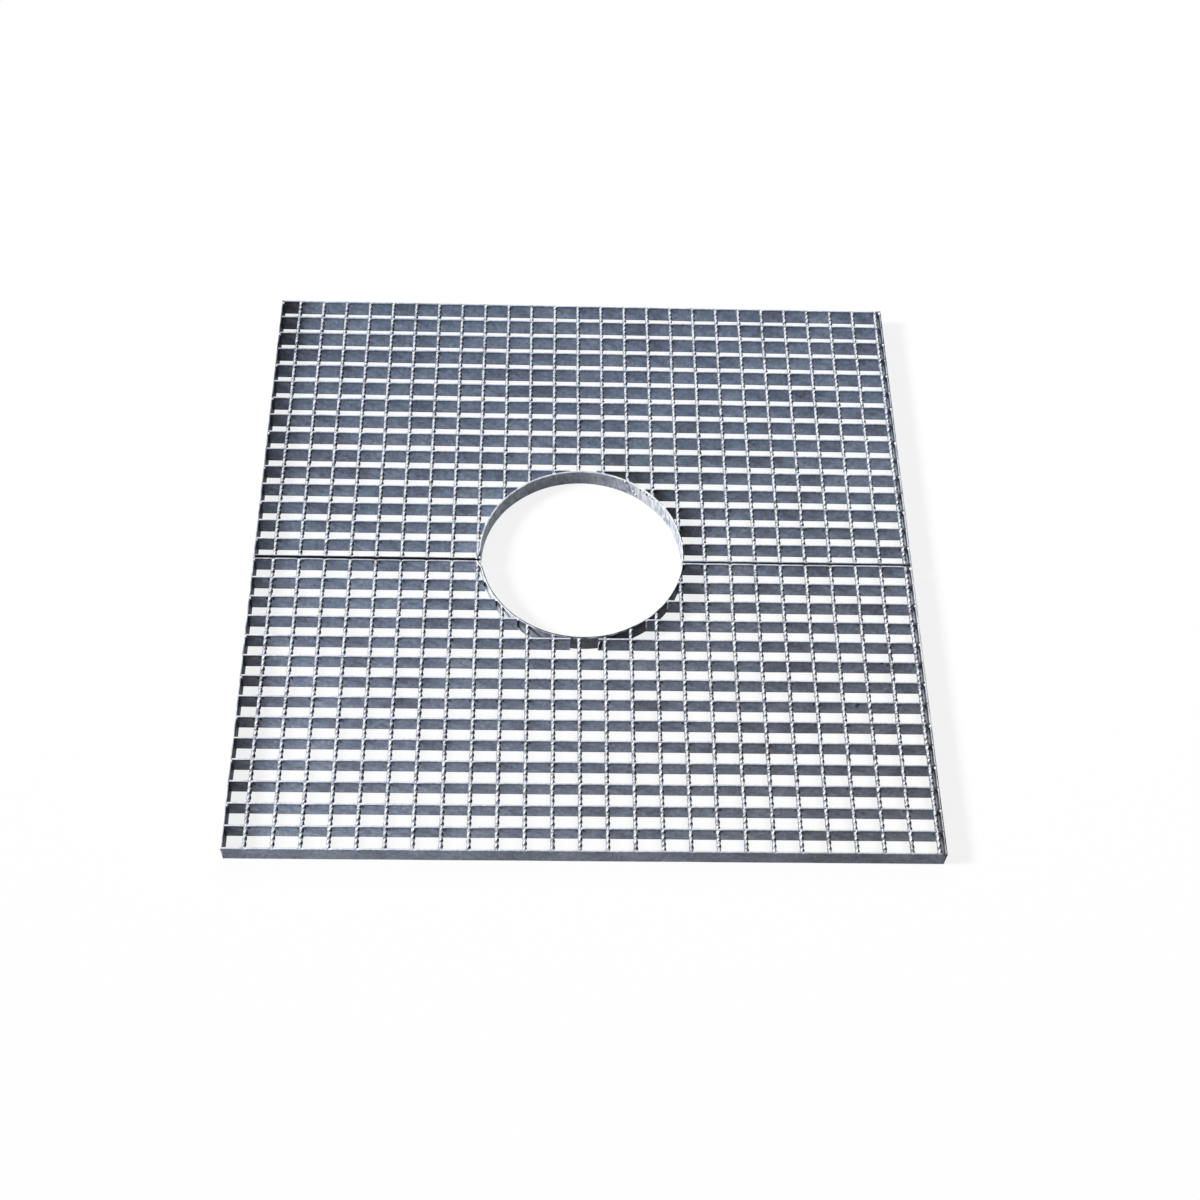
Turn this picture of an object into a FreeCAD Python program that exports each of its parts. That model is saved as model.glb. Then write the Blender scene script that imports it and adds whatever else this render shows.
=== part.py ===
"""Two-part tree grate of press-welded bar grating, sizes in millimetres.

The origin is in the middle of the underside, +Z is up and the front edge faces -Y.
"""
import FreeCAD, Part
import math
import os

import Sketcher

os.makedirs("parts", exist_ok=True)
doc = FreeCAD.newDocument("tree_grate")

SIZES = {
    # outside of the whole grate
    "overall_width": 995,
    "overall_depth": 1000,
    # bearing bars, flat bar on edge, counted inwards from the front and back edges
    "bar_height": 30,
    "bar_thickness": 3,
    "bar_pitch": 34.3,
    # cross rods, square, flush with the tops of the bars
    "rod_side": 5,
    "rod_pitch": 38.1,
    "first_rod_inset": 32,
    # end bands over the bars' ends
    "band_thickness": 3,
    # line where the two parts meet, in front of the middle
    "seam_offset": 16,
    "seam_gap": 2,
    # round opening for the trunk, a little left of the middle, and the flat-bar collar around it
    "opening_diameter": 304,
    "opening_shift": 4,
    "collar_thickness": 3,
}

sizes = doc.addObject("Spreadsheet::Sheet", "sizes")
for row, (alias, value) in enumerate(SIZES.items(), start=1):
    sizes.set(f"A{row}", alias)
    sizes.set(f"B{row}", str(value))
    sizes.setAlias(f"B{row}", alias)
doc.recompute()

# expressions shared by several pieces
HALF_WIDTH = "sizes.overall_width / 2"
BAR_END = "(sizes.overall_width / 2 - sizes.band_thickness)"
COLLAR_INNER = "sizes.opening_diameter / 2"
COLLAR_OUTER = "(sizes.opening_diameter / 2 + sizes.collar_thickness)"
COLLAR_X = "(0 - sizes.opening_shift)"
# bars from an edge to the first one that the collar reaches into
TOUCHED_BAR = f"ceil((sizes.overall_depth / 2 - sizes.bar_thickness - {COLLAR_OUTER}) / sizes.bar_pitch)"
FIRST_ROD = "(sizes.first_rod_inset - sizes.overall_width / 2)"
# a rod is left out where it would stand closer to the right band than half its own side
ROD_COUNT = (
    "floor((sizes.overall_width - sizes.first_rod_inset - sizes.band_thickness - sizes.rod_side)"
    " / sizes.rod_pitch) + 1"
)


class Half:
    """Expressions for one of the two parts; sign is + behind the seam and - in front of it."""

    def __init__(self, name, sign):
        self.name = name
        self.sign = sign
        self.seam_face = f"(-sizes.seam_offset {sign} sizes.seam_gap / 2)"
        self.seam_bar_inner = f"({self.seam_face} {sign} sizes.bar_thickness)"
        self.edge = f"(0 {sign} sizes.overall_depth / 2)"
        self.edge_bar_inner = f"({self.edge} - (0 {sign} sizes.bar_thickness))"
        # a bar is left out where it would stand closer to the seam bar than half a pitch
        self.bar_count = (
            f"floor((abs({self.edge} - {self.seam_face}) - sizes.bar_thickness) / sizes.bar_pitch - 0.5) + 1"
        )
        # faces of the bar that the collar only grazes, which is cut square where the two would meet
        self.touched_inner = f"({self.edge_bar_inner} - (0 {sign} {TOUCHED_BAR} * sizes.bar_pitch))"
        self.touched_outer = f"({self.touched_inner} {sign} sizes.bar_thickness)"
        self.half_gap = f"max(1; sqrt({COLLAR_OUTER} ^ 2 - {self.touched_inner} ^ 2))"


def value_of(expression):
    """The number that an expression gives with the sheet's present sizes."""
    return float(sizes.evalExpression(expression))


def new_body(name):
    """A body and its origin planes and axes by role."""
    body = doc.addObject("PartDesign::Body", name)
    return body, {feature.Role: feature for feature in body.Origin.OriginFeatures}


def new_sketch(body, plane, name, height=None):
    """A sketch on an origin plane, lifted by the height expression."""
    sketch = body.newObject("Sketcher::SketchObject", name)
    sketch.AttachmentSupport = [(plane, "")]
    sketch.MapMode = "FlatFace"
    if height:
        sketch.setExpression("AttachmentOffset.Base.z", height)
    return sketch


def drive(sketch, name, constraint, expression):
    """Add a named constraint and bind it to the sheet."""
    index = sketch.addConstraint(constraint)
    sketch.renameConstraint(index, name)
    sketch.setExpression(f"Constraints.{name}", expression)


def add_rectangle(sketch, x_sides, y_sides):
    """A closed rectangle whose four sides are bound to expressions."""
    x_low, x_high = sorted(x_sides, key=value_of)
    y_low, y_high = sorted(y_sides, key=value_of)
    left, right = value_of(x_low), value_of(x_high)
    front, back = value_of(y_low), value_of(y_high)
    corners = [
        FreeCAD.Vector(left, front, 0),
        FreeCAD.Vector(right, front, 0),
        FreeCAD.Vector(right, back, 0),
        FreeCAD.Vector(left, back, 0),
    ]
    for i in range(4):
        sketch.addGeometry(Part.LineSegment(corners[i], corners[(i + 1) % 4]), False)
    for i in range(4):
        sketch.addConstraint(Sketcher.Constraint("Coincident", i, 2, (i + 1) % 4, 1))
    for i in (0, 2):
        sketch.addConstraint(Sketcher.Constraint("Horizontal", i))
    for i in (1, 3):
        sketch.addConstraint(Sketcher.Constraint("Vertical", i))
    drive(sketch, "left", Sketcher.Constraint("DistanceX", -1, 1, 0, 1, left), x_low)
    drive(sketch, "right", Sketcher.Constraint("DistanceX", -1, 1, 2, 1, right), x_high)
    drive(sketch, "front", Sketcher.Constraint("DistanceY", -1, 1, 0, 1, front), y_low)
    drive(sketch, "back", Sketcher.Constraint("DistanceY", -1, 1, 2, 1, back), y_high)


def pad(body, sketch, name, length):
    """Raise a sketch by the length expression."""
    feature = body.newObject("PartDesign::Pad", name)
    feature.Profile = sketch
    feature.setExpression("Length", length)
    body.Tip = feature
    doc.recompute()
    return feature


def row_of(body, feature, axis, backwards, count, pitch, name):
    """Repeat a feature along an origin axis."""
    pattern = body.newObject("PartDesign::LinearPattern", name)
    pattern.Originals = [feature]
    pattern.Direction = (axis, [""])
    pattern.Reversed = backwards
    pattern.Mode = "Spacing"
    pattern.setExpression("Occurrences", count)
    pattern.setExpression("Offset", pitch)
    body.Tip = pattern
    doc.recompute()
    return pattern


def opening_circle(radius):
    """A circle round the opening's axis."""
    return Part.Circle(FreeCAD.Vector(value_of(COLLAR_X), 0, 0), FreeCAD.Vector(0, 0, 1), radius)


def hold_centre(sketch, curve):
    """Keep a circle's or arc's centre on the opening's axis."""
    sketch.addConstraint(Sketcher.Constraint("PointOnObject", curve, 3, -1))
    drive(sketch, "centre", Sketcher.Constraint("DistanceX", -1, 1, curve, 3, value_of(COLLAR_X)), COLLAR_X)


def cut_through(body, sketch, name):
    """Cut a sketch through the whole body."""
    pocket = body.newObject("PartDesign::Pocket", name)
    pocket.Profile = sketch
    pocket.Type = "ThroughAll"
    pocket.Reversed = True
    body.Tip = pocket
    doc.recompute()


def cut_opening(body, plane, name):
    """Cut everything inside the collar's outer face."""
    radius = value_of(COLLAR_OUTER)
    sketch = new_sketch(body, plane, name + "Sketch")
    sketch.addGeometry(opening_circle(radius), False)
    hold_centre(sketch, 0)
    drive(sketch, "radius", Sketcher.Constraint("Radius", 0, radius), COLLAR_OUTER)
    cut_through(body, sketch, name)


def make_bars(half):
    """The bearing bars of one part, with a bar along the seam."""
    body, origin = new_body(half.name + "Bars")
    ends = (f"-{BAR_END}", BAR_END)
    edge_sketch = new_sketch(body, origin["XY_Plane"], half.name + "EdgeBarSketch")
    add_rectangle(edge_sketch, ends, (half.edge_bar_inner, half.edge))
    edge_bar = pad(body, edge_sketch, half.name + "EdgeBar", "sizes.bar_height")
    row_of(
        body, edge_bar, origin["Y_Axis"], half.sign == "+", half.bar_count, "sizes.bar_pitch", half.name + "BarRow"
    )
    seam_sketch = new_sketch(body, origin["XY_Plane"], half.name + "SeamBarSketch")
    add_rectangle(seam_sketch, ends, (half.seam_face, half.seam_bar_inner))
    pad(body, seam_sketch, half.name + "SeamBar", "sizes.bar_height")
    cut_opening(body, origin["XY_Plane"], half.name + "BarOpening")
    gap_sketch = new_sketch(body, origin["XY_Plane"], half.name + "BarGapSketch")
    add_rectangle(
        gap_sketch,
        (f"({COLLAR_X} - {half.half_gap})", f"({COLLAR_X} + {half.half_gap})"),
        (
            f"({half.touched_inner} - (0 {half.sign} sizes.bar_thickness / 2))",
            f"({half.touched_outer} {half.sign} sizes.bar_thickness / 2)",
        ),
    )
    cut_through(body, gap_sketch, half.name + "BarGap")
    return body


def make_rods(half):
    """The cross rods of one part, let into its bars and ending inside the edge and seam bars."""
    body, origin = new_body(half.name + "Rods")
    sketch = new_sketch(
        body, origin["XY_Plane"], half.name + "RodSketch", "sizes.bar_height - sizes.rod_side"
    )
    x_sides = (f"{FIRST_ROD} - sizes.rod_side / 2", f"{FIRST_ROD} + sizes.rod_side / 2")
    edge_middle = f"({half.edge} + {half.edge_bar_inner}) / 2"
    seam_middle = f"({half.seam_face} + {half.seam_bar_inner}) / 2"
    add_rectangle(sketch, x_sides, (edge_middle, seam_middle))
    rod = pad(body, sketch, half.name + "Rod", "sizes.rod_side")
    row_of(body, rod, origin["X_Axis"], False, ROD_COUNT, "sizes.rod_pitch", half.name + "RodRow")
    cut_opening(body, origin["XY_Plane"], half.name + "RodOpening")
    return body


def make_grating(half):
    """Bars and rods joined where they cross."""
    grating = doc.addObject("Part::Fuse", half.name + "Grating")
    grating.Base = make_bars(half)
    grating.Tool = make_rods(half)
    grating.Refine = False
    grating.Label = f"{half.name.lower()}_grating"
    return grating


def make_band(half, side, sign):
    """The flat bar over the bars' ends on one side of one part."""
    body, origin = new_body(f"{half.name}{side}Band")
    sketch = new_sketch(body, origin["XY_Plane"], f"{half.name}{side}BandSketch")
    add_rectangle(sketch, (f"0 {sign} {BAR_END}", f"0 {sign} {HALF_WIDTH}"), (half.seam_face, half.edge))
    pad(body, sketch, f"{half.name}{side}BandPad", "sizes.bar_height")
    body.Label = f"{half.name.lower()}_{side.lower()}_band"
    return body


def make_collar(half):
    """The bent flat bar around one part's share of the opening, ending at the seam face."""
    body, origin = new_body(half.name + "Collar")
    sketch = new_sketch(body, origin["XY_Plane"], half.name + "CollarSketch")
    cut = value_of(half.seam_face)
    for radius in (value_of(COLLAR_OUTER), value_of(COLLAR_INNER)):
        lean = math.asin(cut / radius)
        span = (lean, math.pi - lean) if half.sign == "+" else (math.pi - lean, 2 * math.pi + lean)
        sketch.addGeometry(Part.ArcOfCircle(opening_circle(radius), *span), False)
    outer, inner = sketch.Geometry
    sketch.addGeometry(Part.LineSegment(outer.StartPoint, inner.StartPoint), False)
    sketch.addGeometry(Part.LineSegment(outer.EndPoint, inner.EndPoint), False)
    hold_centre(sketch, 0)
    sketch.addConstraint(Sketcher.Constraint("Coincident", 1, 3, 0, 3))
    for line, arc_end in ((2, 1), (3, 2)):
        sketch.addConstraint(Sketcher.Constraint("Coincident", 0, arc_end, line, 1))
        sketch.addConstraint(Sketcher.Constraint("Coincident", 1, arc_end, line, 2))
        sketch.addConstraint(Sketcher.Constraint("Horizontal", line))
    drive(sketch, "outer", Sketcher.Constraint("Radius", 0, outer.Radius), COLLAR_OUTER)
    drive(sketch, "inner", Sketcher.Constraint("Radius", 1, inner.Radius), COLLAR_INNER)
    drive(sketch, "start_cut", Sketcher.Constraint("DistanceY", -1, 1, 2, 1, cut), half.seam_face)
    drive(sketch, "end_cut", Sketcher.Constraint("DistanceY", -1, 1, 3, 1, cut), half.seam_face)
    pad(body, sketch, half.name + "CollarPad", "sizes.bar_height")
    body.Label = f"{half.name.lower()}_collar"
    return body


pieces = []
for half in (Half("Back", "+"), Half("Front", "-")):
    pieces.append(make_grating(half))
    pieces.append(make_band(half, "Left", "-"))
    pieces.append(make_band(half, "Right", "+"))
    pieces.append(make_collar(half))
doc.recompute()

for item in doc.Objects:
    if "Invalid" in item.State or "Error" in item.State:
        raise RuntimeError(f"{item.Label} failed to build: {item.State}")
for piece in pieces:
    shape = piece.Shape
    if shape.isNull() or not shape.isValid() or len(shape.Solids) != 1:
        raise RuntimeError(f"{piece.Label} is not one sound solid")
    shape.exportStep(f"parts/{piece.Label}.step")
    print(piece.Label, round(shape.Volume, 1), shape.BoundBox)
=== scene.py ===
import math

import bpy
import numpy as np
from mathutils import Matrix


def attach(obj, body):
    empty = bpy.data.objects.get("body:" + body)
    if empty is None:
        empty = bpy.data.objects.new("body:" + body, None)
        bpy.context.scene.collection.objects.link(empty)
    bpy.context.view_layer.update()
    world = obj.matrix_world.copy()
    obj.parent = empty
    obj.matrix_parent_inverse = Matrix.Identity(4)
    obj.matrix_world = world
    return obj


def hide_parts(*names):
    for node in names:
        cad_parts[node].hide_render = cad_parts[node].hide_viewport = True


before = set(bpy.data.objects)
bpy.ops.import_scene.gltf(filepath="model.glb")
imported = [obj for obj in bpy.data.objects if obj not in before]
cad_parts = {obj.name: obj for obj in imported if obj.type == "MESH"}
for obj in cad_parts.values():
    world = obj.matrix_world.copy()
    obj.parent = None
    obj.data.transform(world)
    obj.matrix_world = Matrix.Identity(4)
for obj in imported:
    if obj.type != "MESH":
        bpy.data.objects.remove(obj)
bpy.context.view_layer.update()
SEED = 34
rng = np.random.default_rng(SEED)

# sizes, in millimetres as in the part's source
MM = 0.001
HALF_WIDTH = 497.5
HALF_DEPTH = 500.0
HEIGHT = 30.0
BAR_THICKNESS = 3.0
BAR_PITCH = 34.3
BAR_END = 494.5
BACK_BARS = 15  # bars of each part, without the one along the seam
FRONT_BARS = 14
ROD_PITCH = 38.1
FIRST_ROD = 32.0 - HALF_WIDTH
ROD_COUNT = 26
SEAM = -16.0
SEAM_GAP = 2.0
COLLAR_X = -4.0
COLLAR_INNER = 152.0
COLLAR_OUTER = 155.0
MESH_CUT = 154.7  # bars and rods end just inside the collar's outer face

RODS = FIRST_ROD + ROD_PITCH * np.arange(ROD_COUNT)


class Half:
    """Places of one of the two parts; sign is 1 behind the seam and -1 in front of it."""

    def __init__(self, name, sign, bar_count):
        self.name = name
        self.sign = sign
        self.seam_face = SEAM + sign * SEAM_GAP / 2
        self.edge = sign * HALF_DEPTH
        inner = BAR_THICKNESS / 2
        self.seam_bar = self.seam_face + sign * inner
        self.edge_bar = self.edge - sign * inner
        self.bars = [self.edge_bar - sign * BAR_PITCH * i for i in range(bar_count)] + [self.seam_bar]

    def clamp(self, y):
        """Keep points between this part's seam face and its outer edge."""
        low, high = sorted((self.seam_face, self.edge))
        return np.clip(y, low, high)


HALVES = (Half("back", 1, BACK_BARS), Half("front", -1, FRONT_BARS))

# meshes
CREASE = 32  # edges sharper than this many degrees stay sharp


class Skin:
    """Points and faces gathered for one mesh."""

    def __init__(self):
        self.points = []
        self.wear_and_light = []
        self.faces = []
        self.count = 0

    def sweep(self, rings, wear_and_light):
        """Skin rings of shape (stations, corners, 3) and close both ends.

        Corners run counter-clockwise round the direction of the sweep. Wear is 1 where the zinc is rubbed
        bright and where a highlight is painted, and -1 where it is darkened by dirt and by painted shade;
        values under -1 widen the dark zone.
        """
        stations, corners = rings.shape[:2]
        index = self.count + np.arange(stations * corners).reshape(stations, corners)
        following = np.roll(index, -1, axis=1)
        quads = np.stack([index[:-1], following[:-1], following[1:], index[1:]], axis=-1)
        self.faces += quads.reshape(-1, 4).tolist()
        self.faces.append(index[0, ::-1].tolist())
        self.faces.append(index[-1].tolist())
        self.points.append(rings.reshape(-1, 3))
        self.wear_and_light.append(np.broadcast_to(wear_and_light, (stations, corners)).ravel())
        self.count += stations * corners

    def make(self, name, material):
        """The mesh object, shaded smooth with creases at sharp edges."""
        mesh = bpy.data.meshes.new(name)
        mesh.from_pydata((np.concatenate(self.points) * MM).tolist(), [], self.faces)
        mesh.shade_smooth()
        mesh.set_sharp_from_angle(angle=math.radians(CREASE))
        mesh.materials.append(material)
        worn_and_lit = mesh.attributes.new("wear_and_light", "FLOAT", "POINT")
        worn_and_lit.data.foreach_set("value", np.concatenate(self.wear_and_light).astype(np.float32))
        piece = bpy.data.objects.new(name, mesh)
        bpy.context.scene.collection.objects.link(piece)
        return piece


WAVE_PARTS = 4  # sines in a random wave, and shortest and longest swing as shares of its length
WAVE_SPREAD = (0.6, 1.7)


def wave(t, size, length):
    """A smooth random wave along t, about `size` high with swings about `length` long."""
    total = np.zeros_like(t, dtype=float)
    for _ in range(WAVE_PARTS):
        swing = length * rng.uniform(*WAVE_SPREAD)
        total += np.sin(2 * np.pi * t / swing + rng.uniform(0, 2 * np.pi))
    return total * size / math.sqrt(WAVE_PARTS)


def rise(value, low, high):
    """0 at low and 1 at high, held beyond both; high may be less than low."""
    return np.clip((value - low) / (high - low), 0, 1)


# bearing bars: one side of a bar's section from the bottom up, as inset from the face and height
BAR_SIDE = np.array([
    (0.5, 0.0), (0.0, 0.5), (0.0, 3.5), (0.0, 15.0), (0.0, 19.5), (0.0, 22.5),
    (0.0, 25.0), (0.0, 27.3), (0.05, 29.2), (0.6, 29.95),
])
BAR_INSETS, BAR_HEIGHTS = BAR_SIDE.T
BAR_RIM = BAR_HEIGHTS > 29.0  # points that follow the dips under the rods
BAR_TOP = BAR_HEIGHTS > 29.5
BAR_STEPS = np.array([-7.5, -4.8, -2.6, 0.0, 2.6, 4.8, 7.5, ROD_PITCH / 2])  # stations from each rod
BAR_MARGIN = 3.0  # stations keep this far from the ends of a stretch
BAR_LET_IN = 0.3  # how far a bar's end goes into a band
BAR_BOW = (0.12, 170.0)  # height and length of the waves in a bar's line, and along its top
BAR_LIFT = (0.05, 60.0)
FLARE = (0.3, 0.9)  # how far the forged metal stands out beside a rod
FLARE_WIDTH = 3.0
FLARE_DEPTH = 4.0
FLARE_AXIS = 26.0
DIP = 1.5  # how far a bar's top lies under a rod pressed into it
DIP_SHARE = (0.7, 1.0)
DIP_WIDTH = 1.8
GRAZED_MORE = 6.0  # how much further right a grazed bar begins again

# painted shade on the bars' faces from the foot up, darker at the foot and just under the top; places below
# run from the front to the back
BAR_FACE_SHADE = np.array([-0.5, -0.4, 0.0, 0.0, 0.0, 0.0, -0.1, -0.3, -0.45, 0.0])
# painted shade in the corners beside the rods: the most, distance from a rod's axis, width and heights
CORNER_SHADE = 0.9
CORNER_REACH = 4.4
CORNER_WIDTH = 1.4
CORNER_HEIGHTS = (BAR_HEIGHTS > 21.0) & (BAR_HEIGHTS < 28.0)
CORNER_PLACES = (-100.0, 200.0)
CORNER_SHARES = (1.0, 0.5)
# painted shadow of the left band on the bars beside it, and where along a bar it begins and is full
LEFT_PLACES = (-160.0, -120.0, 0.0, 300.0, 400.0, 470.0)
LEFT_BAND_SHADOW = (0.42, 0.28, 0.24, 0.24, 0.36, 0.5)
LEFT_REACH = (-455.0, -467.0)
# painted shadow of the collar on the bars at its right, by distance from it and by place along a bar
BESIDE_PLACES = (0.0, 60.0)
COLLAR_SHADOW = (0.32, 0.55)
BESIDE_REACH = (54.0, 9.0)
BESIDE_START = (COLLAR_X + 20.0, COLLAR_X + 60.0)
FRONT_FACE_SHADE = (-0.4, -0.28)  # least and most wear of the face along the front edge, held down as painted shade
# painted shadow on the seam bar's face inside the gap
SEAM_SHADOW = -1.0

# wear and painted highlight of the bars' tops: how much duller at the two left corners, and where that begins
# and is full
TOP_BACK_LEFT = 0.75
BACK_LEFT_Y = (200.0, 400.0)
BACK_LEFT_X = (0.0, -250.0)
TOP_FRONT_LEFT = 0.25
FRONT_LEFT_Y = (0.0, -250.0)
FRONT_LEFT_X = (-100.0, -350.0)
TOP_FRONT_EDGE = 0.75  # how much duller the tops are along their front edges
FRONT_EDGE_LOST = 0.85  # share of that missing at the front left
TOP_MOTTLE = (0.15, 90.0)
TOP_AT_ROD = 0.5  # how much duller where a rod crosses
TOP_ROD_WIDTH = 4.0
TOP_RIGHT_END = -0.8  # wear right of the last rod
TOP_RIGHT_START = RODS[-1] + 1.0
SEAM_TOP = (-1.6, -0.4)  # painted shade along the seam, left and right of the opening
TOP_LEAST = -1.6


def bar_stretches(y):
    """Start and end of each stretch of a bar that the opening leaves, and on which side it is cut round.

    A bar that the collar only grazes is cut square.
    """
    inner = abs(y) - BAR_THICKNESS / 2
    if inner >= COLLAR_OUTER:
        return [(-BAR_END, BAR_END, 0)]
    grazed = inner > COLLAR_OUTER - BAR_THICKNESS
    edge = math.sqrt(COLLAR_OUTER ** 2 - (inner if grazed else y) ** 2)
    round_cut = 0 if grazed else 1
    right_start = COLLAR_X + edge + GRAZED_MORE * grazed
    return [(-BAR_END, COLLAR_X - edge, -round_cut), (right_start, BAR_END, round_cut)]


def bar_wear_and_light(half, y, xs, side):
    """Wear and painted light of one side of a bar: painted highlight on the top, painted shade beside rods
    and in the seam, painted shadows of the left band and collar.
    """
    # painted shade in the corners beside the rods, and painted shadows of the left band and the collar
    from_rods = np.abs(xs[:, None] - RODS)
    by_rods = np.exp(-((from_rods - CORNER_REACH) / CORNER_WIDTH) ** 2)
    corner = (by_rods * rng.uniform(0.0, CORNER_SHADE, ROD_COUNT)).sum(1)
    corner *= np.interp(y, CORNER_PLACES, CORNER_SHARES)
    from_collar = np.hypot(xs - COLLAR_X, y) - COLLAR_OUTER
    in_collar_shadow = rise(from_collar, *BESIDE_REACH) * rise(xs, *BESIDE_START)
    shade = np.interp(y, LEFT_PLACES, LEFT_BAND_SHADOW) * rise(xs, *LEFT_REACH)
    shade += np.interp(y, BESIDE_PLACES, COLLAR_SHADOW) * in_collar_shadow
    wear_and_light = np.clip(BAR_FACE_SHADE - corner[:, None] * CORNER_HEIGHTS - shade[:, None], -1, 0)
    back_left = rise(y, *BACK_LEFT_Y) * rise(xs, *BACK_LEFT_X)
    front_left = rise(y, *FRONT_LEFT_Y) * rise(xs, *FRONT_LEFT_X)
    top = 1.0 - TOP_BACK_LEFT * back_left - TOP_FRONT_LEFT * front_left + wave(xs, *TOP_MOTTLE)
    if side < 0 and y != half.seam_bar:
        top -= TOP_FRONT_EDGE * (1 - FRONT_EDGE_LOST * front_left) * (1 - back_left)
    if y == half.edge_bar and side < 0 and half.sign < 0:
        wear_and_light = np.clip(wear_and_light, *FRONT_FACE_SHADE)
    if y == half.seam_bar and side == -half.sign:
        wear_and_light = np.full_like(wear_and_light, SEAM_SHADOW)
        top = np.where(xs < COLLAR_X, *SEAM_TOP)
    at_rod = np.exp(-(from_rods / TOP_ROD_WIDTH) ** 2).sum(1)
    top = np.where(xs > TOP_RIGHT_START, TOP_RIGHT_END, top - TOP_AT_ROD * at_rod)
    return np.where(BAR_TOP, np.clip(top, TOP_LEAST, 1)[:, None], wear_and_light)


def add_bar(skin, half, y):
    """One bearing bar with the forged swelling at each rod, cut at the collar."""
    for start, end, cut in bar_stretches(y):
        xs = (RODS[:, None] + BAR_STEPS).ravel()
        inner = xs[(xs > start + BAR_MARGIN) & (xs < end - BAR_MARGIN)]
        first = start - BAR_LET_IN if start == -BAR_END else start
        last = end + BAR_LET_IN if end == BAR_END else end
        xs = np.concatenate([[first], inner, [last]])
        near = xs[:, None] - RODS
        bell = np.exp(-(near / FLARE_WIDTH) ** 2 / 2)
        bow = wave(xs, *BAR_BOW)
        pressed = np.exp(-(near / DIP_WIDTH) ** 2 / 2) * rng.uniform(*DIP_SHARE, ROD_COUNT)
        dip = DIP * pressed.sum(1)
        below = np.minimum(BAR_HEIGHTS - FLARE_AXIS, 0)
        share = np.exp(-(below / FLARE_DEPTH) ** 2 / 2)
        sides = []
        for side in (1, -1):
            swell = (bell * rng.uniform(*FLARE, ROD_COUNT)).sum(1)
            out = BAR_THICKNESS / 2 - BAR_INSETS + swell[:, None] * share
            ys = half.clamp(y + bow[:, None] + side * out)
            lift = wave(xs, *BAR_LIFT)[:, None] * BAR_RIM
            zs = BAR_HEIGHTS - dip[:, None] * BAR_RIM - np.abs(lift)
            ring = np.stack([np.repeat(xs[:, None], len(BAR_SIDE), 1), ys, zs], axis=-1)
            sides.append(ring if side > 0 else ring[:, ::-1])
        rings = np.concatenate(sides, axis=1)
        wear_and_light = np.concatenate([bar_wear_and_light(half, y, xs, side)[:, ::side] for side in (1, -1)], axis=1)
        if cut:
            at = 0 if cut > 0 else -1
            reach = np.sqrt(np.maximum(MESH_CUT ** 2 - rings[at, :, 1] ** 2, 1.0))
            rings[at, :, 0] = COLLAR_X + cut * reach
        skin.sweep(rings, wear_and_light)


# twisted cross rods
ROD_AXIS = 26.55  # height of a rod's axis
ROD_HALF = 2.5  # half of a rod's side, and of the flat between its worn edges
ROD_FLAT = 2.1
ROD_DENT = 0.2  # how hollow the flats are
ROD_LEAD = 36.0  # length of a full turn
ROD_STEP = 2.3  # distance between stations
ROD_TOP = HEIGHT - 0.03
ROD_SHORT = 0.5  # a rod ends this far short of the middle of the seam bar
ROD_LONG = 0.9  # and this far past the middle of the edge bar
ROD_END_MOST = 2.0  # how far a corner of its end is drawn out at most to meet the collar
ROD_DRIFT = (1.2, 160.0)  # height and length of the waves in a rod's twist, thickness and line
ROD_SWELL = (0.02, 25.0)
ROD_BOW = (0.25, 200.0)
# section of a rod, counter-clockwise: height and width from the axis
ROD_SIDE = [(ROD_HALF, -ROD_FLAT), (ROD_HALF - ROD_DENT, 0.0), (ROD_HALF, ROD_FLAT)]
ROD_SECTION = np.array(
    ROD_SIDE
    + [(-a, h) for h, a in ROD_SIDE]
    + [(-h, -a) for h, a in ROD_SIDE]
    + [(a, -h) for h, a in ROD_SIDE]
)
ROD_FLATS = np.tile([0.0, 1.0, 0.0], 4)  # 1 in the middle of each flat

# painted light and shade of the rods, with specks of dirt
ROD_DARK, ROD_BRIGHT = 0.6, 1.8  # heights over the axis between which a rod turns from painted shade to a painted highlight
ROD_CORE, ROD_FLANK = 1.1, 2.1  # distances from the painted highlight between which it turns to painted shade again
ROD_CORE_SHIFT = 0.8  # how far the painted highlight lies left of the rod's middle, towards the light
ROD_HOLLOW = 0.5  # how much of the painted highlight the flats lose on the right, as painted shade
HOLLOW_REACH = (-0.6, 0.8)  # where across the rod that begins and is full
ROD_GAIN = 1.6
CROSSING_SHIFT = 1.5  # the painted highlight at a crossing lies this far in front of the bar
CROSSING_WIDTH = 2.2
CROSSING_SPREAD = 0.9  # how much wider the painted highlight is there
# painted shade on the rod's flanks, deeper on the right, away from the light
ROD_SHADE_LEFT, ROD_SHADE_RIGHT = -0.75, -1.0
ROD_SPECKS = 0.18  # share of the stations along a rod where dirt covers its top
SPECK_DEPTH = 0.6


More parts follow.
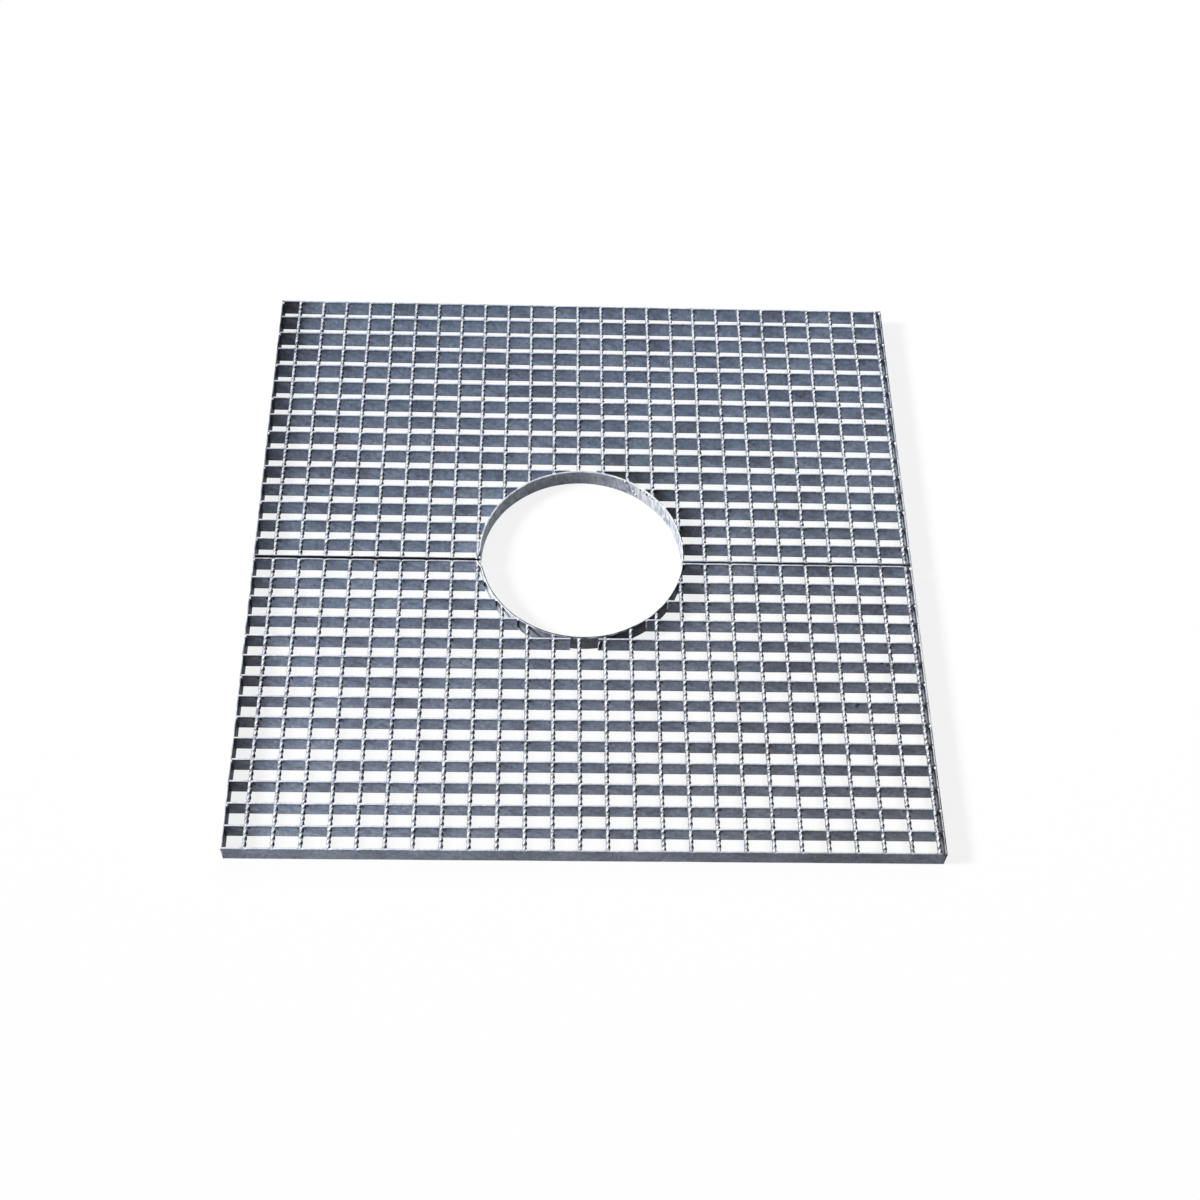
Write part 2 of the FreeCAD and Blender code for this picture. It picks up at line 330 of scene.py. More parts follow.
def add_rod(skin, half, x):
    """One twisted square rod of a part, from its edge bar to its seam bar or to the collar."""
    low, high = sorted((half.seam_bar + half.sign * ROD_SHORT, half.edge_bar + half.sign * ROD_LONG))
    meets_collar = abs(x - COLLAR_X) < MESH_CUT
    if meets_collar:
        reach = math.sqrt(MESH_CUT ** 2 - (x - COLLAR_X) ** 2)
        low, high = (max(low, reach), high) if half.sign > 0 else (low, min(high, -reach))
    ys = np.linspace(low, high, max(2, int((high - low) / ROD_STEP)))
    turn = 2 * np.pi * (ys + wave(ys, *ROD_DRIFT)) / ROD_LEAD + rng.uniform(0, 2 * np.pi)
    up, across = ROD_SECTION.T
    cos, sin = np.cos(turn)[:, None], np.sin(turn)[:, None]
    swell = 1 + wave(ys, *ROD_SWELL)[:, None]
    aside = (across * cos + up * sin) * swell
    xs = x + wave(ys, *ROD_BOW)[:, None] + aside
    zs = np.minimum(ROD_AXIS + (up * cos - across * sin) * swell, ROD_TOP)
    rings = np.stack([xs, np.repeat(ys[:, None], len(ROD_SECTION), 1), zs], axis=-1)
    if meets_collar:
        at = 0 if half.sign > 0 else -1
        bound = np.sqrt(np.maximum(MESH_CUT ** 2 - (rings[at, :, 0] - COLLAR_X) ** 2, 1.0))
        rings[at, :, 1] = half.sign * np.minimum(bound, abs(ys[at]) + ROD_END_MOST)
    # painted highlight along the rod's top-left, painted shade on its flanks and right-hand flats
    lit = rise(zs - ROD_AXIS, ROD_DARK, ROD_BRIGHT)
    from_bars = ys[:, None] - np.array(half.bars) + CROSSING_SHIFT
    crossing = np.exp(-(from_bars / CROSSING_WIDTH) ** 2).max(1)[:, None]
    flank = ROD_FLANK + CROSSING_SPREAD * crossing
    core = np.clip((flank - np.abs(aside + ROD_CORE_SHIFT)) / (ROD_FLANK - ROD_CORE), 0, 1)
    core = core * (1 - ROD_HOLLOW * ROD_FLATS * rise(aside, *HOLLOW_REACH) * (1 - crossing))
    dirt_and_shade = np.where(aside > 0, ROD_SHADE_RIGHT, ROD_SHADE_LEFT)
    clean = 1 - SPECK_DEPTH * (rng.random(ys.shape) < ROD_SPECKS)[:, None]
    skin.sweep(rings, dirt_and_shade + (1 - dirt_and_shade) * np.minimum(ROD_GAIN * lit * core, 1) * clean)


# flat bar on edge, for end bands and collars: section clockwise from the top, as share across and height
FLAT_EDGE = 0.28
FLAT_LIP = 0.06
FLAT_SECTION = np.array([
    (FLAT_EDGE, 29.95), (1 - FLAT_EDGE, 29.95), (1 - FLAT_LIP, 29.6),
    (1.0, 29.0), (1.0, 20.0), (1.0, 10.0), (1.0, 0.8),
    (1 - FLAT_EDGE, 0.0), (FLAT_EDGE, 0.0),
    (0.0, 0.8), (0.0, 10.0), (0.0, 20.0), (0.0, 29.0), (FLAT_LIP, 29.6),
])
FLAT_ACROSS, FLAT_HEIGHTS = FLAT_SECTION.T
FLAT_TOP = FLAT_HEIGHTS > 29.3
FLAT_UPPER = FLAT_HEIGHTS > 25.0  # points that follow the unevenness of the top
FLAT_MIDDLE = 0.5

# end bands
BAND_STATIONS = 66
BAND_INSET = 0.7  # room for the weld nubs inside the outside face
BAND_DRIFT = (0.12, 150.0)  # height and length of the waves in a band's line, top and wear
BAND_LIFT = (0.12, 45.0)
BAND_MOTTLE = (0.3, 35.0)
# dirt and painted shade on the inside faces of the right and left bands, and wear and painted highlight of
# their tops, from the front to the back
BAND_PLACES = (-500.0, -180.0, 500.0)
BAND_DIRT_AND_SHADE = {1: (0.78, 0.48, 0.75), -1: (0.95, 0.95, 0.95)}
BAND_TOP = {1: (-0.75, 0.45, -1.0), -1: (0.15, -0.138, -0.75)}
BAND_LIP_HIGHLIGHT = {1: 1.3, -1: 0.0}  # how much brighter the inner edge of the right one's top is, a painted highlight


def add_band(skin, half, side):
    """The flat bar over the bars' ends on one side of a part."""
    low, high = sorted((half.seam_face, half.edge))
    ys = np.linspace(low, high, BAND_STATIONS)
    outer = HALF_WIDTH - BAND_INSET
    near, far = (BAR_END, outer) if side > 0 else (-outer, -BAR_END)
    xs = near + (far - near) * FLAT_ACROSS + wave(ys, *BAND_DRIFT)[:, None]
    zs = FLAT_HEIGHTS - np.abs(wave(ys, *BAND_LIFT))[:, None] * FLAT_UPPER
    rings = np.stack([xs, np.repeat(ys[:, None], len(FLAT_SECTION), 1), zs], axis=-1)
    inside = FLAT_ACROSS < FLAT_MIDDLE if side > 0 else FLAT_ACROSS > FLAT_MIDDLE
    # painted highlight and wear on the tops, painted shade and dirt on the inside faces
    top = np.interp(ys, BAND_PLACES, BAND_TOP[side]) + wave(ys, *BAND_MOTTLE)
    top = top[:, None] + BAND_LIP_HIGHLIGHT[side] * (FLAT_ACROSS == FLAT_LIP)
    dirt_and_shade = np.interp(ys, BAND_PLACES, BAND_DIRT_AND_SHADE[side])[:, None]
    skin.sweep(rings, np.where(FLAT_TOP, np.clip(top, -1, 1), -dirt_and_shade * inside))


# collars
COLLAR_STATIONS = 180
COLLAR_LENGTH = 480.0  # mean length of the two collars, along which their waves run
COLLAR_BEND = 6.0  # the collar's ends turn outwards at the left of the seam
COLLAR_BEND_LENGTH = 9.0
COLLAR_BOW = (0.16, 90.0)  # height and length of the waves in a collar's line, top and wear
COLLAR_LIFT = (0.15, 40.0)
COLLAR_UNEVEN = (0.25, 30.0)
# wear and painted light of the collar round the opening, from the right over the back: painted highlight
# where it faces the light and painted shade where it faces away, and how uneven it is inside
COLLAR_TURN = np.radians([-10.0, 52.0, 62.0, 80.0, 150.0, 200.0, 222.0, 240.0, 262.0, 285.0, 345.0, 370.0])
COLLAR_INSIDE = [0.1, 0.35, -0.35, -0.25, -0.25, -0.6, -0.7, -0.7, -0.7, -0.7, -0.5, 0.1]
COLLAR_MOTTLE = [0.7, 0.7, 0.4, 0.15, 0.15, 0.1, 0.1, 0.1, 0.1, 0.1, 0.1, 0.7]
COLLAR_OUTSIDE = [-0.8, -0.4, -0.35, -0.3, -0.1, 0.9, 0.9, -0.4, -0.55, -0.7, -0.97, -0.8]
COLLAR_TOP = [0.9, 0.9, 0.75, 0.5, 0.2, 0.5, 0.5, 0.2, -0.5, -0.6, 0.9, 0.9]
# how much darker the top's inner and outer edges are: painted shade, and at the right a painted shadow line
# beside the cut bars
COLLAR_RIM_SHADE = [0.0, 0.0, 0.0, 0.0, 0.0, 1.5, 1.5, 1.5, 1.5, 0.6, 0.0, 0.0]
COLLAR_EDGE_SHADOW = [3.4, 0.0, 0.0, 0.0, 0.0, 0.0, 0.0, 0.0, 0.0, 0.0, 3.4, 3.4]
COLLAR_LEAST = -2.5
COLLAR_FRONT_SHADE = -0.85  # painted shade in front of the bars' ends, on the outside of the front collar
SHADE_SLOPE = 1.75  # its lower limit rises by this much for each millimetre from the bar
SHADE_SOFT = 10.0  # height over which it fades at that limit


def add_collar(skin, half):
    """The flat bar bent round a part's share of the opening."""
    t = np.linspace(0, 1, COLLAR_STATIONS)[:, None]
    radii = COLLAR_INNER + (COLLAR_OUTER - COLLAR_INNER) * FLAT_ACROSS
    lean = np.arcsin(half.seam_face / radii)
    first, last = (lean, np.pi - lean) if half.sign > 0 else (np.pi - lean, 2 * np.pi + lean)
    angle = first + (last - first) * t
    arc = (t * COLLAR_LENGTH)[:, 0]
    from_left = arc[::-1] if half.sign > 0 else arc
    bend = COLLAR_BEND * np.exp(-(from_left / COLLAR_BEND_LENGTH) ** 2)
    radius = radii + (wave(arc, *COLLAR_BOW) + bend)[:, None]
    zs = FLAT_HEIGHTS - np.abs(wave(arc, *COLLAR_LIFT))[:, None] * FLAT_UPPER
    ys = half.clamp(radius * np.sin(angle))
    turn = angle[:, :1]
    # painted highlight and shade round the collar, by the way each part faces the light
    inner = np.interp(turn, COLLAR_TURN, COLLAR_INSIDE)
    outer = np.interp(turn, COLLAR_TURN, COLLAR_OUTSIDE)
    top = np.interp(turn, COLLAR_TURN, COLLAR_TOP) + wave(arc, *COLLAR_UNEVEN)[:, None]
    top = top - np.interp(turn, COLLAR_TURN, COLLAR_RIM_SHADE) * (FLAT_ACROSS < FLAT_MIDDLE)
    top = top - np.interp(turn, COLLAR_TURN, COLLAR_EDGE_SHADOW) * (FLAT_ACROSS > FLAT_MIDDLE)
    # painted shade on the outside of the front collar in front of each bar, above a line that rises with
    # distance from the bar
    if half.sign < 0:
        ahead = np.array(half.bars) - COLLAR_OUTER * np.sin(turn)
        ahead = np.where(ahead < 0, np.inf, ahead).min(1)[:, None]
        front_shade = np.clip((FLAT_HEIGHTS - SHADE_SLOPE * ahead) / SHADE_SOFT + 0.5, 0, 1)
        outer = outer + front_shade * np.minimum(COLLAR_FRONT_SHADE - outer, 0)
    inner = inner + np.interp(turn, COLLAR_TURN, COLLAR_MOTTLE) * rng.uniform(-1, 1, radius.shape)
    wear_and_light = np.where(FLAT_TOP, top, np.where(FLAT_ACROSS < FLAT_MIDDLE, inner, outer))
    rings = np.stack([COLLAR_X + radius * np.cos(angle), ys, zs], axis=-1)
    skin.sweep(rings, np.clip(wear_and_light, COLLAR_LEAST, 1))


# weld beads
# welds are painted bright as highlights, fillets dark as shade in the corners, and the darkest value gives
# real dark marks and painted shadows
WELD_HIGHLIGHT = 0.9
FILLET_SHADE = -0.75
DARK_MARK_AND_SHADE = -1.0
WELD_LOWEST = 0.2
BEAD_STEPS = 7
BEAD_CORNERS = 7
SHORT_STEPS = 6  # stations of short beads
LONG_STEPS = 9  # and of long ones
BEAD_TIP = 0.06  # least share of the section at the ends
BEAD_SIZE = (0.75, 1.15)
BEAD_RIPPLE = (0.85, 1.15)
ALONG_X = 0.8  # a bead is taken to run along X over this share


def add_bead(skin, start, end, radius, steps=BEAD_STEPS, wear_and_light=WELD_HIGHLIGHT):
    """A lumpy weld bead along a straight line, tapering at both ends."""
    start, end = np.array(start, float), np.array(end, float)
    t = np.linspace(0, 1, steps)
    along = (end - start) / np.linalg.norm(end - start)
    helper = np.array([1.0, 0, 0]) if abs(along[0]) < ALONG_X else np.array([0, 1.0, 0])
    u = np.cross(along, helper)
    u /= np.linalg.norm(u)
    v = np.cross(along, u)
    taper = np.sqrt(np.clip(1 - (2 * t - 1) ** 4, BEAD_TIP, 1))
    size = radius * taper * rng.uniform(*BEAD_SIZE, steps)
    angle = 2 * np.pi * np.arange(BEAD_CORNERS) / BEAD_CORNERS + rng.uniform(0, 1)
    ripple = rng.uniform(*BEAD_RIPPLE, (steps, BEAD_CORNERS)) * size[:, None]
    centre = start + (end - start) * t[:, None]
    out = np.cos(angle)[:, None] * u + np.sin(angle)[:, None] * v
    skin.sweep(centre[:, None] + ripple[..., None] * out, wear_and_light)


def keep_inside(skin):
    """Hold weld points inside the grate's outside faces."""
    for points in skin.points:
        points[:, 0] = np.clip(points[:, 0], -HALF_WIDTH, HALF_WIDTH)
        points[:, 1] = np.clip(points[:, 1], -HALF_DEPTH, HALF_DEPTH)
        points[:, 2] = np.clip(points[:, 2], WELD_LOWEST, HEIGHT)


# welds at the end bands: fillets beside a bar's end, and nubs on top, heavy and light by turns
BAND_WELD_X = BAR_END - 0.5
BAND_WELD_OUT = BAR_THICKNESS / 2 + 0.2
FILLET_FOOT = (12.0, 18.0)
FILLET_HEAD = (27.0, 28.6)
FILLET_RADIUS = 1.25
NUB_LENGTH = {True: (1.8, 2.8), False: (1.0, 1.6)}
NUB_RADIUS = {True: (2.2, 2.7), False: (0.7, 1.0)}
NUB_INSET = (2.0, 2.8)
NUB_AHEAD = (2.0, 4.0)
NUB_HEIGHT = 28.4


def add_band_welds(skin, half):
    """Fillets where the bars meet the end bands, with a nub on top of each joint."""
    low, high = sorted((half.seam_face, half.edge))
    for i, y in enumerate(half.bars):
        for side in (1, -1):
            x = side * BAND_WELD_X
            for face in (1, -1):
                at = y + face * BAND_WELD_OUT
                if not low < at < high:
                    continue
                foot = (x, at, rng.uniform(*FILLET_FOOT))
                head = (x, at, rng.uniform(*FILLET_HEAD))
                add_bead(skin, foot, head, FILLET_RADIUS, wear_and_light=FILLET_SHADE)
            heavy = i % 2 == 0
            length = rng.uniform(*NUB_LENGTH[heavy])
            radius = rng.uniform(*NUB_RADIUS[heavy])
            x = side * (HALF_WIDTH - rng.uniform(*NUB_INSET))
            middle = y - rng.uniform(*NUB_AHEAD)
            ends = (x, middle - length, NUB_HEIGHT), (x, middle + length, NUB_HEIGHT)
            add_bead(skin, *ends, radius, SHORT_STEPS)


# welds at the collar: down a grazed bar's end
GRAZED_IN = (0.4, 0.9)
GRAZED_FOOT = (3.0, 6.0)
GRAZED_HEAD = (28.0, 29.0)
GRAZED_RADIUS = (1.3, 1.7)
# the drawn-out weld, painted bright as a highlight, and its root of painted shadow at the right end of the
# gap in front, from the bar's end and front face: start, end, radius, stations, wear
DRAWN_WELD = (
    ((2.8, 0.0, 1.5), (3.8, 0.0, 27.0), 2.6, LONG_STEPS, DARK_MARK_AND_SHADE),
    ((1.0, -1.6, 6.0), (0.0, -1.6, 17.0), 0.8, BEAD_STEPS, 1.0),
    ((0.0, -1.6, 16.0), (2.4, -1.6, 28.5), 0.9, BEAD_STEPS, 1.0),
)
# beside a cut bar's end, painted shadow in the front part at the left and between these places at the right
CUT_OUT = BAR_THICKNESS / 2 + 0.3
CUT_REACH = COLLAR_OUTER + 0.4
CUT_FOOT = (8.0, 16.0)
CUT_HEAD = (27.4, 29.0)
CUT_RADIUS = 1.5
SHADOW_PLACES = (-70.0, 90.0)
# on top of a cut bar's end
CREST_REACH = COLLAR_OUTER - 0.6
CREST_LENGTH = (2.4, 4.4)
CREST_RADIUS = (1.6, 2.4)
CREST_HEIGHT = 28.3
CREST_LEAST = 0.5  # shorter ones are left out
# at a cut rod's end
ROD_WELD_REACH = COLLAR_OUTER - 2.0
ROD_WELD_OUT = 0.4
ROD_WELD_LENGTH = (2.0, 3.2)
ROD_WELD_RADIUS = (1.7, 2.4)
ROD_WELD_HEIGHT = 27.8


def add_grazed_welds(skin, half, y):
    """Welds at the square ends of the bar that the collar grazes."""
    left, right = bar_stretches(y)
    for x in (left[1], right[0]):
        inner = y - half.sign * rng.uniform(*GRAZED_IN)
        ends = (x, inner, rng.uniform(*GRAZED_FOOT)), (x, inner, rng.uniform(*GRAZED_HEAD))
        add_bead(skin, *ends, rng.uniform(*GRAZED_RADIUS), LONG_STEPS, wear_and_light=FILLET_SHADE)
    if half.sign < 0:
        corner = np.array([right[0], y - BAR_THICKNESS / 2, 0.0])
        for start, end, radius, steps, wear_and_light in DRAWN_WELD:
            add_bead(skin, corner + start, corner + end, radius, steps, wear_and_light=wear_and_light)


def add_cut_bar_welds(skin, half, y):
    """Welds beside and on top of the round-cut ends of a bar."""
    for face in (1, -1):
        at = y + face * CUT_OUT
        if abs(at) >= COLLAR_OUTER or half.clamp(at) != at:
            continue
        reach = math.sqrt(CUT_REACH ** 2 - at ** 2)
        for side in (1, -1):
            x = COLLAR_X + side * reach
            in_shadow = SHADOW_PLACES[0] < y < SHADOW_PLACES[1] if side > 0 else half.sign < 0
            ends = (x, at, rng.uniform(*CUT_FOOT)), (x, at, rng.uniform(*CUT_HEAD))
            add_bead(skin, *ends, CUT_RADIUS, wear_and_light=DARK_MARK_AND_SHADE if in_shadow else WELD_HIGHLIGHT)
    top = math.sqrt(CREST_REACH ** 2 - y ** 2)
    for side in (1, -1):
        slant = np.array([y, side * -top]) / COLLAR_OUTER * rng.uniform(*CREST_LENGTH)
        middle = np.array([COLLAR_X + side * top, y])
        a, b = middle - slant, middle + slant
        a[1], b[1] = half.clamp(a[1]), half.clamp(b[1])
        if np.linalg.norm(b - a) > CREST_LEAST:
            ends = (*a, CREST_HEIGHT), (*b, CREST_HEIGHT)
            add_bead(skin, *ends, rng.uniform(*CREST_RADIUS), SHORT_STEPS)


def add_collar_welds(skin, half):
    """Welds where the cut bars and rods meet the collar."""
    for y in half.bars:
        if abs(y) - BAR_THICKNESS / 2 >= COLLAR_OUTER:
            continue
        if abs(y) > COLLAR_OUTER - BAR_THICKNESS:
            add_grazed_welds(skin, half, y)
        else:
            add_cut_bar_welds(skin, half, y)
    for x in RODS[np.abs(RODS - COLLAR_X) < ROD_WELD_REACH]:
        at = half.sign * math.sqrt(COLLAR_OUTER ** 2 - (x - COLLAR_X) ** 2)
        if half.clamp(at) != at:
            continue
        slant = np.array([at, COLLAR_X - x]) / COLLAR_OUTER * rng.uniform(*ROD_WELD_LENGTH)
        middle = np.array([x, at + half.sign * ROD_WELD_OUT])
        ends = (*(middle - slant), ROD_WELD_HEIGHT), (*(middle + slant), ROD_WELD_HEIGHT)
        add_bead(skin, *ends, rng.uniform(*ROD_WELD_RADIUS), SHORT_STEPS)


# lumps of weld metal on the collar at the right of the back, painted bright as highlights and dark as shade:
# degrees round the opening, height, size, wear
LUMPS = (
    (33.0, 29.0, 2.4, 1.0), (40.0, 28.0, 2.2, 1.0), (43.5, 27.0, 2.0, -1.0), (46.5, 28.0, 3.2, 1.0),
    (48.5, 25.5, 2.4, -1.0), (50.5, 28.0, 3.4, 1.0), (53.0, 26.5, 2.0, -1.0), (56.0, 8.0, 3.0, 1.0),
    (58.0, 14.0, 2.2, 1.0), (63.5, 28.5, 3.0, 1.0),
)
LUMP_REACH = COLLAR_INNER + 0.8
LUMP_HALF = 0.012  # half of a lump's length, in radians
# dark marks on two bars of the front part: start and end
MARKS = (
    ((391.2, -260.6, 19.0), (395.8, -260.6, 29.2)),
    ((433.0, -191.4, 28.8), (436.0, -191.2, 29.0)),
)
MARK_RADIUS = 1.7


def add_lumps(skin):
    """The lumps of weld metal on the back collar."""
    for degrees, height, size, wear_and_light in LUMPS:
        middle = math.radians(degrees)
        ends = [
            (COLLAR_X + LUMP_REACH * math.cos(a), LUMP_REACH * math.sin(a), height)
            for a in (middle - LUMP_HALF, middle + LUMP_HALF)
        ]
        add_bead(skin, *ends, size, SHORT_STEPS, wear_and_light=wear_and_light)


def add_marks(skin):
    """The dark marks on the front part."""
    for start, end in MARKS:
        add_bead(skin, start, end, MARK_RADIUS, SHORT_STEPS, wear_and_light=DARK_MARK_AND_SHADE)


# materials
class Nodes:
    """Short calls for building one material's node tree."""

    def __init__(self, name):
        self.material = bpy.data.materials.new(name)
        self.material.use_nodes = True
        self.tree = self.material.node_tree
        self.shader = self.tree.nodes["Principled BSDF"]

    def add(self, kind, settings=None, **values):
        """A node; values go to its inputs by name, as numbers or as links from another socket."""
        made = self.tree.nodes.new(kind)
        for key, value in (settings or {}).items():
            setattr(made, key, value)
        for key, value in values.items():
            self.put(made.inputs[key.replace("_", " ")], value)
        return made

    def put(self, socket, value):
        """Set a socket to a number or colour, or link another socket to it."""
        if isinstance(value, bpy.types.NodeSocket):
            self.tree.links.new(value, socket)
        else:
            socket.default_value = value

    def noise(self, coords, scale, detail=3.0, roughness=0.55):
        """Cloudy noise from 0 to 1."""
        return self.add(
            "ShaderNodeTexNoise", Vector=coords, Scale=scale, Detail=detail, Roughness=roughness
        ).outputs["Fac"]

    def stretch(self, coords, scale):
        """Coordinates scaled along each axis."""
        return self.add("ShaderNodeMapping", Vector=coords, Scale=scale).outputs["Vector"]

    def span(self, value, low, high, to_low, to_high):
        """Map a value from one range to another, held at both ends."""
        return self.add(
            "ShaderNodeMapRange", Value=value, From_Min=low, From_Max=high, To_Min=to_low, To_Max=to_high
        ).outputs["Result"]

    def ramp(self, value, *stops):
        """A colour for each value, between stops of place and colour."""
        made = self.add("ShaderNodeValToRGB", Fac=value)
        bands = made.color_ramp.elements
        while len(bands) < len(stops):
            bands.new(0.5)
        for band, (place, colour) in zip(bands, stops):
            band.position = place
            band.color = (*colour, 1.0)
        return made.outputs["Color"]

    def mix(self, blend, factor, first, second):
        """Two colours blended; 6 and 7 are the node's colour inputs and 2 is its colour output."""
        made = self.tree.nodes.new("ShaderNodeMix")
        made.data_type = "RGBA"
        made.blend_type = blend
        for socket, value in ((0, factor), (6, first), (7, second)):
            self.put(made.inputs[socket], value)
        return made.outputs[2]


# patterns of the zinc: scale, detail and roughness of the noise
PATCHES = (14.0, 4.0, 0.62)
STREAKS = (1.0, 4.0, 0.65)
SPECKS = (620.0, 2.0, 0.7)
GLOSS = (75.0, 3.0)
LUMPY = (130.0, 3.0, 0.5)
SPANGLE_SCALE = 170.0
PATCH_STOPS = (0.33, 0.5, 0.68)
SPANGLE_STOPS = ((0.0, (0.78, 0.78, 0.79)), (1.0, (1.14, 1.14, 1.13)))
STREAK_STOPS = ((0.28, (0.72, 0.72, 0.73)), (0.72, (1.18, 1.18, 1.18)))
WORN_AND_LIT_STOPS = (0.3, 0.6)
WORN_AND_LIT_DARK = 0.8  # share of the worn colour, which also gives painted highlights, in the dark streaks
SPECK_STOPS = (0.66, 0.74)
SPECK_MOST = 0.55
SPECK_COLOUR = (0.07, 0.068, 0.066, 1.0)
GLOSS_STOPS = (0.3, 0.7)
SPECULAR = (0.02, 0.25)  # of dirt and painted shade, and of clean zinc
LUMPY_BUMP = {"Strength": 0.35, "Distance": 0.0009}
STREAK_BUMP = {"Strength": 0.25, "Distance": 0.0003}

# tints: bluer at the back, paler at the left front and duller at the right front
BACK_TINT = (0.93, 1.0, 1.1, 1.0)
FRONT_LEFT = (1.25, 1.29, 1.36)
FRONT_RIGHT = (0.66, 0.66, 0.69)
BACK_REACH = (-0.35, 0.3)  # where these begin and are full, in metres
FRONT_REACH = (0.2, -0.3)
SIDE_REACH = (-0.4, 0.4)
# and browner where painted shade darkens the bars
SHADE_BROWN = (1.25, 1.0, 0.85, 1.0)
SHADE_BROWN_REACH = (-0.4, -0.55)
# dark colours for dirt and for painted shade
DIRT_AND_SHADE = (0.030, 0.025, 0.023, 1.0)
BLUE_DIRT_AND_SHADE = (0.024, 0.029, 0.044, 1.0)


def zinc(name, tones, worn_and_lit, roughness, metallic, grain, dirt_and_shade=DIRT_AND_SHADE, shade_tint=None):
    """Hot-dip galvanised steel: patches of tone, fine spangle, drawn streaks, specks and lumps.

    Tones run from the dark to the pale patches; the worn colour goes where the zinc is rubbed bright and
    where a highlight is painted, and the stained tint where painted shade begins to darken it.
    """
    n = Nodes(name)
    coords = n.add("ShaderNodeTexCoord").outputs["Object"]
    colour = n.ramp(n.noise(coords, *PATCHES), *zip(PATCH_STOPS, tones))
    spangle = n.add("ShaderNodeTexVoronoi", Vector=coords, Scale=SPANGLE_SCALE).outputs["Color"]
    spangle = n.add("ShaderNodeSeparateColor", Color=spangle).outputs[0]
    colour = n.mix("MULTIPLY", 1.0, colour, n.ramp(spangle, *SPANGLE_STOPS))
    axes = n.add("ShaderNodeSeparateXYZ", Vector=coords)
    colour = n.mix("MULTIPLY", n.span(axes.outputs["Y"], *BACK_REACH, 0.0, 1.0), colour, BACK_TINT)
    across = n.ramp(n.span(axes.outputs["X"], *SIDE_REACH, 0.0, 1.0), (0.0, FRONT_LEFT), (1.0, FRONT_RIGHT))
    colour = n.mix("MULTIPLY", n.span(axes.outputs["Y"], *FRONT_REACH, 0.0, 1.0), colour, across)
    drawn = n.noise(n.stretch(coords, grain), *STREAKS)
    colour = n.mix("MULTIPLY", 1.0, colour, n.ramp(drawn, *STREAK_STOPS))
    # wear attribute: rubbed zinc and painted highlights above 0, dirt and painted shade below
    wear_and_light = n.add("ShaderNodeAttribute", {"attribute_name": "wear_and_light"}).outputs["Fac"]
    dull = tuple(WORN_AND_LIT_DARK * part for part in worn_and_lit)
    rubbed_and_lit = n.ramp(drawn, *zip(WORN_AND_LIT_STOPS, (dull, worn_and_lit)))
    colour = n.mix("MIX", n.span(wear_and_light, 0.0, 1.0, 0.0, 1.0), colour, rubbed_and_lit)
    if shade_tint:
        colour = n.mix("MULTIPLY", n.span(wear_and_light, *SHADE_BROWN_REACH, 0.0, 1.0), colour, shade_tint)
    colour = n.mix("MIX", n.span(wear_and_light, 0.0, -1.0, 0.0, 1.0), colour, dirt_and_shade)
    specks = n.span(n.noise(coords, *SPECKS), *SPECK_STOPS, 0.0, SPECK_MOST)
    colour = n.mix("MIX", specks, colour, SPECK_COLOUR)
    n.put(n.shader.inputs["Base Color"], colour)
    n.put(n.shader.inputs["Roughness"], n.span(n.noise(coords, *GLOSS), *GLOSS_STOPS, *roughness))
    n.put(n.shader.inputs["Metallic"], n.span(wear_and_light, -1.0, 0.0, 0.0, metallic))
    n.put(n.shader.inputs["Specular IOR Level"], n.span(wear_and_light, -1.0, 0.0, *SPECULAR))
    first = n.add("ShaderNodeBump", Height=n.noise(coords, *LUMPY), **LUMPY_BUMP)
    second = n.add("ShaderNodeBump", Height=drawn, Normal=first.outputs["Normal"], **STREAK_BUMP)
    n.put(n.shader.inputs["Normal"], second.outputs["Normal"])
    return n.material


BAR_ZINC = zinc(
    "zinc_bar",
    tones=((0.295, 0.315, 0.385), (0.405, 0.465, 0.575), (0.53, 0.58, 0.66)),
    worn_and_lit=(0.92, 0.94, 0.97),
    roughness=(0.40, 0.60),
    metallic=0.25,
    grain=(230.0, 230.0, 110.0),
    shade_tint=SHADE_BROWN,
)
ROD_ZINC = zinc(
    "zinc_rod",
    tones=((0.27, 0.28, 0.31), (0.32, 0.33, 0.36), (0.38, 0.38, 0.40)),
    worn_and_lit=(0.90, 0.94, 1.0),
    roughness=(0.30, 0.50),
    metallic=0.2,
    grain=(260.0, 60.0, 260.0),
    dirt_and_shade=BLUE_DIRT_AND_SHADE,
)
FLAT_ZINC = zinc(
    "zinc_flat",
    tones=((0.46, 0.49, 0.55), (0.55, 0.57, 0.61), (0.66, 0.66, 0.68)),
    worn_and_lit=(0.86, 0.87, 0.89),
    roughness=(0.36, 0.58),
    metallic=0.2,
    grain=(200.0, 200.0, 90.0),
    dirt_and_shade=BLUE_DIRT_AND_SHADE,
)


# the grate
def place(skin, name, material, node, slot):
    """Make a skin's mesh and put it in the place of a node of the part."""
    piece = skin.make(name, material)
    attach(piece, "root")
    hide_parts(node)


